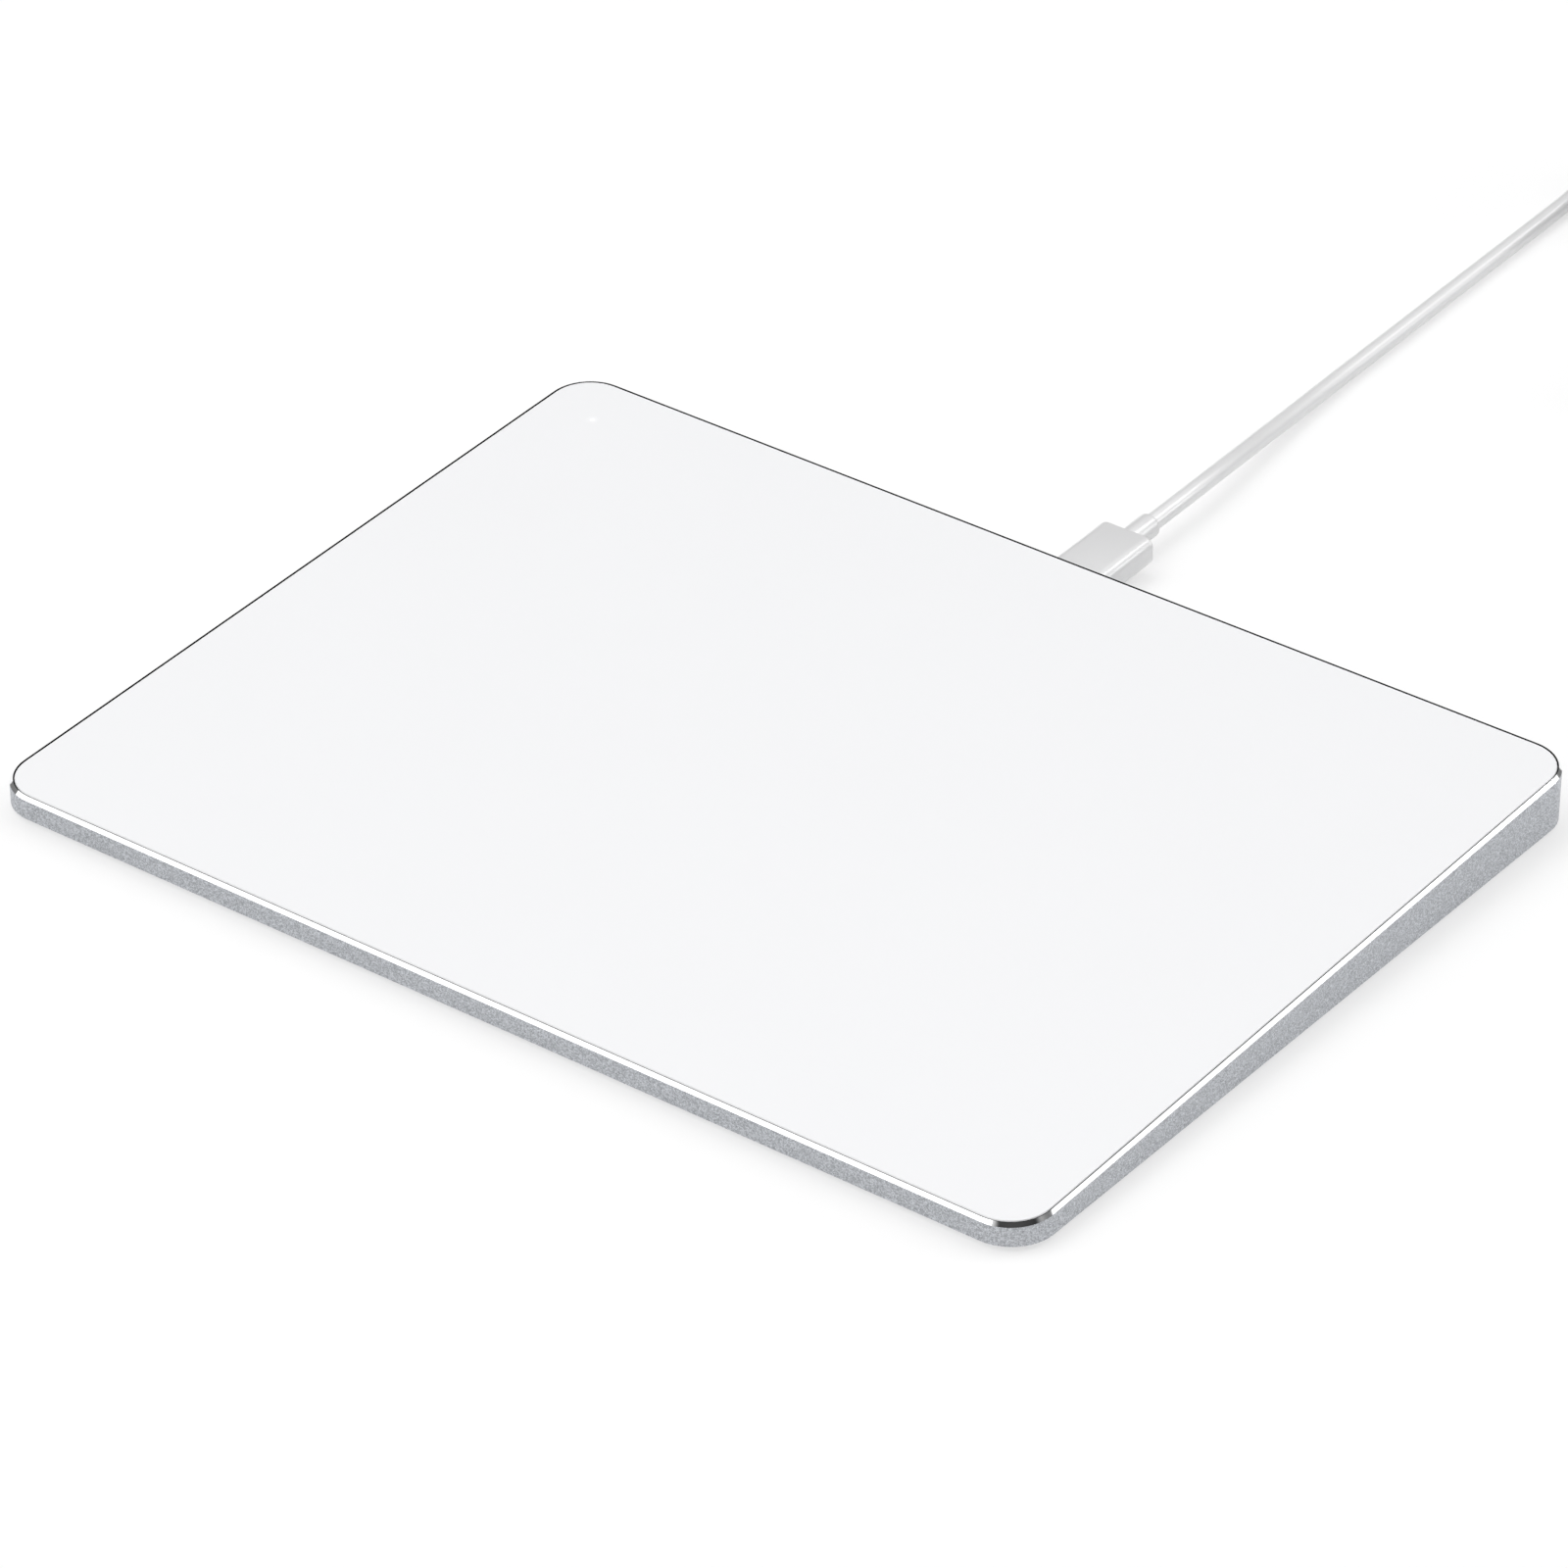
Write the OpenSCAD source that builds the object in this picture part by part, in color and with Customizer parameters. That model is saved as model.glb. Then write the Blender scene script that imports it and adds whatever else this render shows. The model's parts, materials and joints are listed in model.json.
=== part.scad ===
// Wired trackpad: a wedge-shaped aluminium case, a glass touch plate that tilts on two leaf
// springs and clicks a switch near its front edge, and a cable that plugs into the rear wall.
// Millimetres. Origin on the desk under the middle of the case, +X right, +Y rear, +Z up.

/* [Case] */
// Width of the case, left to right
pad_width = 180; // [150:1:210]
// Depth of the case, front to rear
pad_depth = 136; // [110:1:160]
// Height of the front wall, from its lower edge to the rim
front_height = 3.6; // [3.5:0.05:5]
// Height of the rear wall, from its lower edge to the rim
rear_height = 8.65; // [8.4:0.05:12]
// Outer radius of the upright corners
corner_radius = 7; // [5:0.5:12]
// Thickness of the walls below the glass ledge
wall = 1.8; // [1.4:0.1:2.4]
// Width of the rim beside the glass
rim = 0.5; // [0.5:0.05:1]
// Width of the polished bevel along the rim
bevel_width = 0.45; // [0.2:0.05:0.5]
// Height of the polished bevel along the rim
bevel_height = 0.5; // [0.2:0.05:0.8]

/* [Base cover] */
// Thickness of the base cover
base_thickness = 0.8; // [0.8:0.05:1]
// Width of the frame's lower edge that shows around the cover
base_edge = 0.8; // [0.6:0.1:1.2]
// Gap between the cover and the frame
base_gap = 0.1; // [0.05:0.05:0.2]

/* [Feet] */
// Length of a rubber foot
foot_length = 24; // [16:1:36]
// Width of a rubber foot
foot_width = 7; // [5:0.5:10]
// How far a foot stands out under the case
foot_proud = 0.7; // [0.5:0.1:1.5]
// Depth of the recess that a foot is glued into
foot_recess = 0.3; // [0.2:0.05:0.4]
// Distance from the case's side to the near end of a foot
foot_side = 12; // [10:1:20]
// Distance from the case's front or rear to the near edge of a foot
foot_margin = 9; // [8:1:20]

/* [Touch plate] */
// Thickness of the glass
glass_thickness = 1; // [0.8:0.05:1.2]
// Gap between the glass and the rim
glass_gap = 0.2; // [0.15:0.05:0.4]
// Bevel along the glass's upper edge
glass_bevel = 0.12; // [0.05:0.01:0.2]
// Thickness of the adhesive sheet under the glass
adhesive_thickness = 0.15; // [0.1:0.05:0.25]
// Thickness of the touch board
touch_board_thickness = 0.8; // [0.6:0.1:1]
// Thickness of the steel carrier plate
carrier_thickness = 0.5; // [0.4:0.1:0.6]
// Distance from the case's front to the carrier plate
carrier_front = 18; // [14:1:24]
// Distance from the case's side to the carrier plate
carrier_side = 11; // [8:0.5:16]

/* [Click action] */
// How far the plunger is pushed in at a full click
click_travel = 0.35; // [0.2:0.05:0.4]
// Distance from the case's front to the switch
switch_setback = 30; // [28:1:50]
// Side of the square switch body
switch_size = 6; // [5:0.5:8]
// Height of the switch body
switch_height = 0.9; // [0.9:0.05:1]
// Diameter of the plunger
plunger_d = 2; // [1.5:0.1:2.4]
// Distance from the case's rear to the line about which the plate tilts
hinge_setback = 9.5; // [9:0.5:12]
// Distance between the middles of the two leaf springs
hinge_spread = 92; // [84:1:100]
// Width of a leaf spring
spring_width = 20; // [14:1:24]
// Thickness of a leaf spring
spring_thickness = 0.2; // [0.15:0.05:0.3]
// Free length of a leaf spring between the shelf and the carrier plate
spring_free = 2; // [1.5:0.5:3]
// Length of a leaf spring that lies on the shelf or on the carrier plate
spring_seat = 5.5; // [5:0.5:6]
// Thickness of the soft stop strips on the front ledge
stop_thickness = 0.12; // [0.1:0.01:0.15]

/* [Status light] */
// Distance from the case's left side and rear to the light
light_inset = 10.25; // [9:0.25:14]
// Diameter of the light pipe under the glass
light_d = 0.9; // [0.6:0.1:1.2]

/* [Boards] */
// Width of the main board
main_board_width = 42; // [38:1:46]
// Depth of the main board
main_board_depth = 22; // [20:1:28]
// Thickness of the main board
main_board_thickness = 0.8; // [0.6:0.1:1]
// Width of the flat cable between the boards
flat_cable_width = 8; // [5:0.5:10]
// Distance from the case's rear to the touch board's connector
touch_connector_setback = 46; // [42:1:56]

/* [USB socket] */
// Outer width of the socket shell
socket_width = 8.94; // [8.9:0.02:9]
// Outer height of the socket shell
socket_height = 3.16; // [3.12:0.02:3.2]
// Depth of the socket shell
socket_depth = 7.35; // [7.3:0.05:7.6]
// How far the socket is let into the base cover
socket_sink = 0.44; // [0.2:0.01:0.45]
// Room between the socket and the pocket that it lies in
socket_lift = 0.1; // [0.08:0.02:0.3]

/* [Near plug] */
// Width of the plug housing
plug_width = 9.7; // [9.6:0.1:12]
// Thickness of the plug housing
plug_thickness = 4.8; // [4:0.1:4.8]
// Length of the plug housing
plug_length = 16.7; // [12:0.1:22]
// Diameter of the collar behind the housing
collar_d = 3.9; // [3.6:0.1:4.8]
// Length of the collar
collar_length = 6; // [4:0.5:12]

/* [Cable] */
// Diameter of the cable
cable_d = 2.8; // [2.4:0.1:2.8]
// Radius of the coil at the middle of its turns
coil_radius = 15.5; // [14:0.5:18]
// Turns in one layer of the coil
coil_turns = 2.25; // [1.25:1:3.25]
// Layers of the coil
coil_layers = 4; // [2:2:4]
// Step from turn to turn and from layer to layer
coil_pitch = 3.4; // [3.4:0.1:4]
// Width of the tie round the coil
tie_width = 6; // [4:1:8]
// Thickness of the tie
tie_thickness = 0.6; // [0.5:0.1:1]

/* [Far plug] */
// Width of the far plug's housing
far_width = 15.4; // [14:0.2:18]
// Thickness of the far plug's housing
far_thickness = 7.4; // [7:0.2:9]
// Length of the far plug's housing
far_length = 19; // [16:1:26]
// Diameter of the far plug's collar
far_collar_d = 4.6; // [4:0.1:6]
// Length of the far plug's collar
far_collar_length = 7; // [5:0.5:12]

/* [Fasteners] */
// Diameter of the screws
screw_d = 1.6; // [1.4:0.1:1.8]
// Diameter of the screw heads
screw_head_d = 3; // [2.6:0.1:3]
// Diameter of the bosses that take the base screws
boss_d = 4.4; // [4:0.1:5]
// Distance from the middle to the outer front bosses
front_boss_x = 60; // [40:1:66]
// Distance from the middle to the side bosses
side_boss_y = 30; // [20:1:40]

/* [Hidden] */
$fn = 64;

// Overlap that keeps cuts open at their ends
cut = 1;
// Room round a screw in a plate, and round its thread
screw_gap = 0.1;
thread_gap = 0.02;
// Room between parts that pass each other in the case
plate_gap = 0.2;
// How far a boss is sunk into the wall beside it
boss_merge = 0.4;
// Room between a leaf spring and the bosses beside it
spring_room = 5;
// Extra radius of the bevel's corners, so that bevel and wall cross cleanly and never just touch
bevel_ease = 0.1;

// The touch surface slopes up to the rear. Slope coordinates are x, v up the slope from the
// middle of the touch surface, and w square to it, with w = 0 on the surface itself.
tilt = atan((rear_height - front_height) / pad_depth);
slope_length = pad_depth / cos(tilt);
rear_v = slope_length / 2;
front_v = -rear_v;
wall_z = foot_proud;
base_top_z = wall_z + base_thickness;
middle_z = wall_z + (front_height + rear_height) / 2;

// Depths of the touch plate's layers
adhesive_w = -glass_thickness;
touch_board_w = adhesive_w - adhesive_thickness;
carrier_w = touch_board_w - touch_board_thickness;
spring_w = carrier_w - carrier_thickness;

// The hinge line lies in the free stretch of the springs
hinge_v = rear_v - hinge_setback;
switch_v = front_v + switch_setback;
shelf_reach = hinge_setback - spring_free / 2;
plate_rear = hinge_setback + spring_free / 2;
glass_inset = rim + glass_gap;
front_drop = click_travel * (hinge_v - front_v - glass_inset) / (hinge_v - switch_v);
stop_gap = 0.08;
pocket_drop = glass_thickness + front_drop + stop_thickness + stop_gap;
shelf_drop = glass_thickness + 0.25;
shelf_thickness = -spring_w - shelf_drop;

// Screw bosses under the glass
boss_inset = wall + boss_d / 2 - boss_merge;
board_margin = boss_inset + boss_d / 2 + plate_gap;
boss_beside_spring = spring_width / 2 + boss_d / 2 + spring_room;
rear_boss_x = [hinge_spread / 2 - boss_beside_spring, hinge_spread / 2 + boss_beside_spring];
shelf_half = hinge_spread / 2 + boss_beside_spring + boss_d / 2 + 2;
boss_places = concat(
  [for (x = [-front_boss_x, 0, front_boss_x]) [x, -pad_depth / 2 + boss_inset]],
  [for (s = [-1, 1], y = [-side_boss_y, side_boss_y]) [s * (pad_width / 2 - boss_inset), y]],
  [for (s = [-1, 1], x = rear_boss_x) [s * x, pad_depth / 2 - boss_inset]]
);
head_height = (screw_head_d - screw_d) / 2;
drive_d = screw_d * 0.75;
drive_depth = head_height * 0.7;
front_boss_top_z = wall_z + front_height + boss_inset * tan(tilt) - pocket_drop;
base_screw_length = front_boss_top_z - wall_z - 0.1;

// Screws of the leaf springs and of the main board, with flat heads below
pan_head_height = 0.6;
pan_screw_bite = shelf_thickness - 0.1;
hinge_screw_v = rear_v - shelf_reach + spring_seat / 2;
hinge_screw_half = spring_width * 0.3;

// The socket lies in a pocket of the base cover and hangs under the main board
socket_wall = 0.3;
socket_recess = 0.25;
port_gap = 0.15;
pocket_z = base_top_z - socket_sink;
pocket_length = socket_depth + socket_recess + 1;
socket_w = (pocket_z + socket_lift - middle_z - (rear_v - pocket_length) * sin(tilt)) / cos(tilt)
  + socket_height / 2;
port_v = (pad_depth / 2 + socket_w * sin(tilt)) / cos(tilt);
mouth_v = port_v - socket_recess;
main_board_w = socket_w + socket_height / 2 + main_board_thickness;
main_board_rear_v = port_v - wall - 0.4;
main_board_front_v = main_board_rear_v - main_board_depth;
board_post_d = 4.4;
board_post_x = main_board_width / 2 - board_post_d / 2 - 1;
board_post_v = rear_v - shelf_reach + board_post_d / 2 + 0.6;

// Tongue of the socket and what it enters in the plug
tongue_width = 6.69;
tongue_thickness = 0.7;
tongue_setback = 1.2;
socket_back = 1;
contact_count = 12;
contact_pitch = 0.5;
contact_width = 0.25;
contact_thickness = 0.05;
contact_length = 3.5;
plug_shell_width = 8.25;
plug_shell_height = 2.4;
plug_shell_wall = 0.2;
plug_shell_reach = 6.65;
plug_shell_embed = 2;
slot_gap = 0.12;
slot_depth = 5.4;
plug_gap = 0.4;
plug_v = port_v + plug_gap;
collar_v = plug_v + plug_length;
cable_v = collar_v + collar_length;

// Chips, connectors and the flat cable
chip_size = 7;
chip_height = 0.8;
touch_chip_at = [-30, 0];
usb_chip_at = [12, main_board_front_v + chip_size / 2 + 3];
connector_width = flat_cable_width + 2;
connector_depth = 4;
connector_height = 1;
flat_cable_thickness = 0.2;
flat_cable_steps = 16;
touch_connector_v = rear_v - touch_connector_setback;
touch_cable_w = carrier_w - connector_height * 0.7;
board_cable_w = main_board_w - main_board_thickness - connector_height / 2;
window_gap = 0.4;

// Status light
light_x = -(pad_width / 2 - light_inset);
light_v = rear_v - light_inset;
led_size = [1.6, 0.8, 0.5];

// Switch and plunger
switch_floor = 0.15;
switch_roof = 0.07;
plunger_flange_d = plunger_d + 1;
plunger_flange = 0.18;
plunger_out = click_travel + 0.2;
plunger_gap = 0.02;
plunger_tip_w = carrier_w - switch_height - plunger_out;
strike_gap = 0.1;

// The cable's route after the straight stretch behind the collar, chosen by hand: it sinks to
// the desk, lies along it and rises on to the foot of the coil
lead_route = [
  [-0.1, 100, 4.1], [-0.4, 106, 3.98], [-0.9, 112, 3.66], [-1.45, 118, 3.22], [-2.1, 124, 2.74],
  [-2.65, 130, 2.3], [-3.15, 136, 1.94], [-3.6, 142, 1.68], [-3.95, 148, 1.52], [-4.2, 154, 1.44],
  [-4.45, 162, 1.42], [-4.7, 170, 1.42], [-5, 178, 1.42], [-5.25, 186, 1.42], [-5.5, 194, 1.42],
  [-5.75, 202, 1.42], [-6, 210, 1.42], [-6.25, 218, 1.5], [-6.45, 224, 1.7], [-6.6, 230, 2]
];
// From the coil's last turn down to the far plug, as distance to the right of the coil, y and z
tail_route = [[0.2, 231.5, 11.8], [0.9, 228, 10.4], [1.9, 224.5, 8.3], [2.9, 221, 6.2], [3.7, 217.5, 4.6]];
coil_x = 12.7;
coil_y = 240;
far_x = 36;
far_y = 210;
lead_sides = 8;
coil_sides = 6;
rings_per_turn = 24;
tie_gap = 0.2;
coil_z = tie_thickness + tie_gap + cable_d / 2;
half_build = coil_turns * coil_pitch / 2;
coil_out = coil_radius + half_build;
coil_in = coil_radius - half_build;
layer_span = coil_turns + 0.5;
coil_total = coil_layers * layer_span - 0.5;

// Far plug
far_z = far_thickness / 2;
far_shell_width = 12;
far_shell_height = 4.5;
far_shell_wall = 0.3;
far_shell_reach = 12;
far_shell_embed = 3;
far_insert_height = 1.9;

function slope_point(x, v, w) = [
  x,
  v * cos(tilt) - w * sin(tilt),
  middle_z + v * sin(tilt) + w * cos(tilt)
];

// A point of the coil after u turns: each layer spirals in or out, then climbs in half a turn
function coil_point(u) =
  let (
    layer = min(floor(u / layer_span), coil_layers - 1),
    turn = u - layer * layer_span,
    step = min(turn, coil_turns) * coil_pitch,
    r = layer % 2 == 0 ? coil_out - step : coil_in + step,
    climb = max(0, turn - coil_turns) / 0.5,
    a = 180 - 360 * u
  )
  [coil_x + r * cos(a), coil_y + r * sin(a), coil_z + (layer + climb) * coil_pitch];

// Heading of the coil after u turns, clockwise from above
function coil_heading(u) = let (a = 180 - 360 * u) [sin(a), -cos(a), 0];

coil_steps = round(rings_per_turn * coil_total);
coil_line = concat(
  [coil_point(0) - cable_d * coil_heading(0)],
  [for (i = [0:coil_steps]) coil_point(coil_total * i / coil_steps)],
  [coil_point(coil_total) + cable_d * coil_heading(coil_total)]
);
coil_end = coil_line[len(coil_line) - 1];
lead_line = concat(
  [slope_point(0, cable_v, socket_w), slope_point(0, cable_v + cable_d, socket_w)],
  lead_route,
  [coil_line[0] - cable_d * coil_heading(0), coil_line[0]]
);
tail_line = concat(
  [coil_end, coil_end + cable_d * coil_heading(coil_total)],
  [for (p = tail_route) [coil_x + coil_out + p[0], p[1], p[2]]],
  [[far_x, far_y + cable_d, far_z], [far_x, far_y, far_z]]
);

function line_length(line, i = 0) =
  i + 1 >= len(line) ? 0 : norm(line[i + 1] - line[i]) + line_length(line, i + 1);

// Least gap between turns, over pairs of points at least half a turn apart
least_gap = min([
  for (i = [0:len(coil_line) - 1])
    for (j = [i + rings_per_turn / 2:1:len(coil_line) - 1])
      norm(coil_line[i] - coil_line[j])
]) - cable_d;
echo(least_gap_between_turns = least_gap);
echo(cable_length = line_length(lead_line) + line_length(coil_line) + line_length(tail_line));

function unit(p) = p / norm(p);

// Points of a tube along a line, one ring of n points round each point of the line
function tube_points(line, n) = [
  for (i = [0:len(line) - 1])
    let (
      ahead = unit(line[min(i + 1, len(line) - 1)] - line[max(i - 1, 0)]),
      side = unit(cross(ahead, [0, 0, 1])),
      up = cross(side, ahead)
    )
    for (j = [0:n - 1])
      line[i] + cable_d / 2 * (cos(360 * j / n) * side + sin(360 * j / n) * up)
];

// Triangles of a tube of m rings, with both ends closed
function tube_faces(m, n) = concat(
  [for (i = [0:m - 2], j = [0:n - 1]) let (k = (j + 1) % n)
    each [[i * n + j, i * n + k, (i + 1) * n + k], [i * n + j, (i + 1) * n + k, (i + 1) * n + j]]],
  [for (j = [1:n - 2]) [0, j + 1, j]],
  [for (j = [1:n - 2]) [(m - 1) * n, (m - 1) * n + j, (m - 1) * n + j + 1]]
);

module tube(line, n) {
  polyhedron(tube_points(line, n), tube_faces(len(line), n), convexity = 10);
}

// Puts its children on the sloping touch surface
module on_slope() {
  translate([0, 0, middle_z]) rotate([tilt, 0, 0]) children();
}

// Extrudes a profile in x and w up the slope, from v0 to v1
module up_slope(v0, v1) {
  translate([0, v1, 0]) rotate([90, 0, 0]) linear_extrude(v1 - v0) children();
}

// Axis of the socket and the near plug
module on_port() {
  on_slope() translate([0, 0, socket_w]) children();
}

module rounded_rect(w, l, r) {
  square([w - 2 * r, l], center = true);
  square([w, l - 2 * r], center = true);
  for (x = [-1, 1], y = [-1, 1])
    translate([x * (w / 2 - r), y * (l / 2 - r)]) circle(r);
}

module stadium(w, h) {
  square([w - h, h], center = true);
  for (x = [-1, 1]) translate([x * (w - h) / 2, 0]) circle(h / 2);
}

// Bar of height h with half sizes x0, y0 at its lower face and x1, y1 at its upper one
module tapered_bar(x0, y0, x1, y1, h) {
  polyhedron(
    [
      [-x0, -y0, 0], [x0, -y0, 0], [x0, y0, 0], [-x0, y0, 0],
      [-x1, -y1, h], [x1, -y1, h], [x1, y1, h], [-x1, y1, h]
    ],
    [[0, 1, 2, 3], [4, 7, 6, 5], [0, 4, 5, 1], [1, 5, 6, 2], [2, 6, 7, 3], [3, 7, 4, 0]]
  );
}

// Plate of height h whose outline draws in by inset towards its upper face. Bars and corners
// get their edges from the same sums, so that they meet without slivers at any size.
module tapered_plate(w, l, r, h, inset) {
  x = w / 2 - r;
  y = l / 2 - r;
  for (i = [-1, 1], j = [-1, 1])
    translate([i * x, j * y, 0]) cylinder(h = h, r1 = r, r2 = r - inset);
  tapered_bar(x, y + r, x, y + (r - inset), h);
  tapered_bar(x + r, y, x + (r - inset), y, h);
}

// Block along +y with bevelled ends
module bevelled_block(w, h, l, r, bevel) {
  rotate([90, 0, 0]) {
    translate([0, 0, -l + bevel]) linear_extrude(l - 2 * bevel) rounded_rect(w, h, r);
    translate([0, 0, -bevel]) tapered_plate(w, h, r, bevel, bevel);
    translate([0, 0, -l + bevel]) mirror([0, 0, 1]) tapered_plate(w, h, r, bevel, bevel);
  }
}

// Round collar along +y whose far end is rounded off
module collar(d, l, round_off) {
  arc = [for (a = [0:15:90]) [d / 2 - round_off + round_off * cos(a), l - round_off + round_off * sin(a)]];
  rotate([-90, 0, 0]) rotate_extrude() polygon(concat([[0, 0], [d / 2, 0]], arc, [[0, l]]));
}

// Countersunk screw along +z, with its face at z = 0
module countersunk_screw(l) {
  difference() {
    union() {
      cylinder(h = head_height, d1 = screw_head_d, d2 = screw_d);
      cylinder(h = l, d = screw_d);
    }
    translate([0, 0, -cut]) cylinder(h = cut + drive_depth, d = drive_d, $fn = 6);
  }
}

// Flat-headed screw along +z, with its head below z = 0
module pan_screw(l) {
  difference() {
    union() {
      translate([0, 0, -pan_head_height]) cylinder(h = pan_head_height, d = screw_head_d);
      cylinder(h = l, d = screw_d);
    }
    translate([0, 0, -pan_head_height - cut]) cylinder(h = cut + pan_head_height / 2, d = drive_d, $fn = 6);
  }
}

// Shelf along the rear wall that the leaf springs and the main board are screwed to
module rear_shelf() {
  translate([-shelf_half, rear_v - shelf_reach, spring_w])
    cube([2 * shelf_half, shelf_reach, shelf_thickness]);
}

module case_outside() {
  intersection() {
    translate([0, 0, wall_z]) linear_extrude(rear_height + cut) rounded_rect(pad_width, pad_depth, corner_radius);
    on_slope() {
      translate([0, 0, -2 * bevel_height])
        tapered_plate(pad_width + 2 * bevel_width, slope_length + 2 * bevel_width,
          corner_radius + bevel_width + bevel_ease, 2 * bevel_height, 2 * bevel_width);
      translate([-pad_width, -pad_depth, -1.5 * bevel_height - 2 * rear_height])
        cube([2 * pad_width, 2 * pad_depth, 2 * rear_height]);
    }
  }
}

module case_hollow() {
  difference() {
    union() {
      on_slope() translate([0, 0, -pocket_drop]) linear_extrude(pocket_drop + cut)
        rounded_rect(pad_width - 2 * rim, slope_length - 2 * rim, corner_radius - rim);
      linear_extrude(wall_z + rear_height + cut)
        rounded_rect(pad_width - 2 * wall, pad_depth - 2 * wall, corner_radius - wall);
    }
    on_slope() rear_shelf();
    intersection() {
      for (p = boss_places)
        translate([p[0], p[1], base_top_z]) cylinder(h = rear_height + cut, d = boss_d);
      on_slope() {
        translate([-pad_width, -pad_depth, -pocket_drop - 2 * rear_height])
          cube([2 * pad_width, 2 * pad_depth, 2 * rear_height]);
      }
    }
    on_slope() for (x = [-1, 1])
      translate([x * board_post_x, board_post_v, main_board_w])
        cylinder(h = spring_w - main_board_w + shelf_thickness / 2, d = board_post_d);
  }
}

module case_frame() {
  color("silver") difference() {
    case_outside();
    case_hollow();
    translate([0, 0, wall_z - cut]) linear_extrude(cut + base_thickness)
      rounded_rect(pad_width - 2 * base_edge, pad_depth - 2 * base_edge, corner_radius - base_edge);
    on_port() up_slope(port_v - wall - cut, port_v + cut)
      stadium(socket_width + 2 * port_gap, socket_height + 2 * port_gap);
    for (p = boss_places)
      translate([p[0], p[1], base_top_z - cut])
        cylinder(h = cut + base_screw_length - base_thickness + thread_gap, d = screw_d + 2 * thread_gap);
    on_slope() {
      for (s = [-1, 1], x = [-1, 1])
        translate([s * hinge_spread / 2 + x * hinge_screw_half, hinge_screw_v, spring_w - cut])
          cylinder(h = cut + pan_screw_bite + thread_gap, d = screw_d + 2 * thread_gap);
      for (x = [-1, 1])
        translate([x * board_post_x, board_post_v, main_board_w - cut])
          cylinder(h = cut + pan_screw_bite + thread_gap, d = screw_d + 2 * thread_gap);
    }
  }
}

module base_cover() {
  color("lightgray") difference() {
    translate([0, 0, wall_z]) linear_extrude(base_thickness)
      rounded_rect(pad_width - 2 * (base_edge + base_gap), pad_depth - 2 * (base_edge + base_gap),
        corner_radius - base_edge - base_gap);
    for (p = boss_places) translate([p[0], p[1], wall_z]) {
      cylinder(h = head_height, d1 = screw_head_d + 2 * screw_gap, d2 = screw_d + 2 * screw_gap);
      translate([0, 0, -cut]) cylinder(h = base_thickness + 2 * cut, d = screw_d + 2 * screw_gap);
    }
    for (x = [-1, 1], y = [-1, 1])
      at_foot(x, y) translate([0, 0, wall_z - cut]) linear_extrude(cut + foot_recess)
        rounded_rect(foot_length + 2 * base_gap, foot_width + 2 * base_gap, foot_width / 2 - 0.5 + base_gap);
    translate([-socket_width / 2 - plate_gap, pad_depth / 2 - pocket_length, pocket_z])
      cube([socket_width + 2 * plate_gap, pocket_length, socket_sink + cut]);
  }
}

module base_screws() {
  color("dimgray") for (p = boss_places)
    translate([p[0], p[1], wall_z]) countersunk_screw(base_screw_length);
}

module at_foot(x, y) {
  translate([
    x * (pad_width / 2 - foot_side - foot_length / 2),
    y * (pad_depth / 2 - foot_margin - foot_width / 2),
    0
  ]) children();
}

module foot(x, y) {
  color("whitesmoke") at_foot(x, y) linear_extrude(foot_proud + foot_recess)
    rounded_rect(foot_length, foot_width, foot_width / 2 - 0.5);
}

module foot_front_left() {
  foot(-1, -1);
}

module foot_front_right() {
  foot(1, -1);
}

module foot_rear_left() {
  foot(-1, 1);
}

module foot_rear_right() {
  foot(1, 1);
}

module main_board() {
  color("darkgreen") on_slope() difference() {
    translate([-main_board_width / 2, main_board_front_v, main_board_w - main_board_thickness])
      cube([main_board_width, main_board_depth, main_board_thickness]);
    for (x = [-1, 1])
      translate([x * board_post_x, board_post_v, main_board_w - main_board_thickness - cut])
        cylinder(h = main_board_thickness + 2 * cut, d = screw_d + 2 * screw_gap);
  }
}

module board_screws() {
  color("dimgray") on_slope() for (x = [-1, 1])
    translate([x * board_post_x, board_post_v, main_board_w - main_board_thickness])
      pan_screw(main_board_thickness + pan_screw_bite);
}

module usb_chip() {
  color("black") on_slope()
    translate([usb_chip_at[0] - chip_size / 2, usb_chip_at[1] - chip_size / 2,
      main_board_w - main_board_thickness - chip_height])
      cube([chip_size, chip_size, chip_height]);
}

module board_connector() {
  color("ivory") on_slope()
    translate([-connector_width / 2, main_board_front_v + plate_gap,
      main_board_w - main_board_thickness - connector_height])
      cube([connector_width, connector_depth, connector_height]);
}

// Sinks from the touch board's connector to the one under the main board
module flat_cable() {
  v0 = touch_connector_v + connector_depth / 2;
  v1 = main_board_front_v + plate_gap;
  half = flat_cable_thickness / 2;
  line = [
    for (i = [0:flat_cable_steps])
      let (t = i / flat_cable_steps, ease = (1 - cos(180 * t)) / 2)
      [v0 + (v1 - v0) * t, touch_cable_w + (board_cable_w - touch_cable_w) * ease]
  ];
  color("white") on_slope()
    rotate([90, 0, 90]) translate([0, 0, -flat_cable_width / 2]) linear_extrude(flat_cable_width)
      polygon(concat(
        [for (p = line) p + [0, half]],
        [for (i = [flat_cable_steps:-1:0]) line[i] - [0, half]]
      ));
}

module usb_c_socket_shell() {
  color("gainsboro") on_port() up_slope(mouth_v - socket_depth, mouth_v) difference() {
    stadium(socket_width, socket_height);
    stadium(socket_width - 2 * socket_wall, socket_height - 2 * socket_wall);
  }
}

module usb_c_socket_tongue() {
  color("black") on_port() {
    up_slope(mouth_v - socket_depth, mouth_v - socket_depth + socket_back)
      stadium(socket_width - 2 * socket_wall, socket_height - 2 * socket_wall);
    up_slope(mouth_v - socket_depth, mouth_v - tongue_setback)
      square([tongue_width, tongue_thickness], center = true);
  }
}

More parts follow.
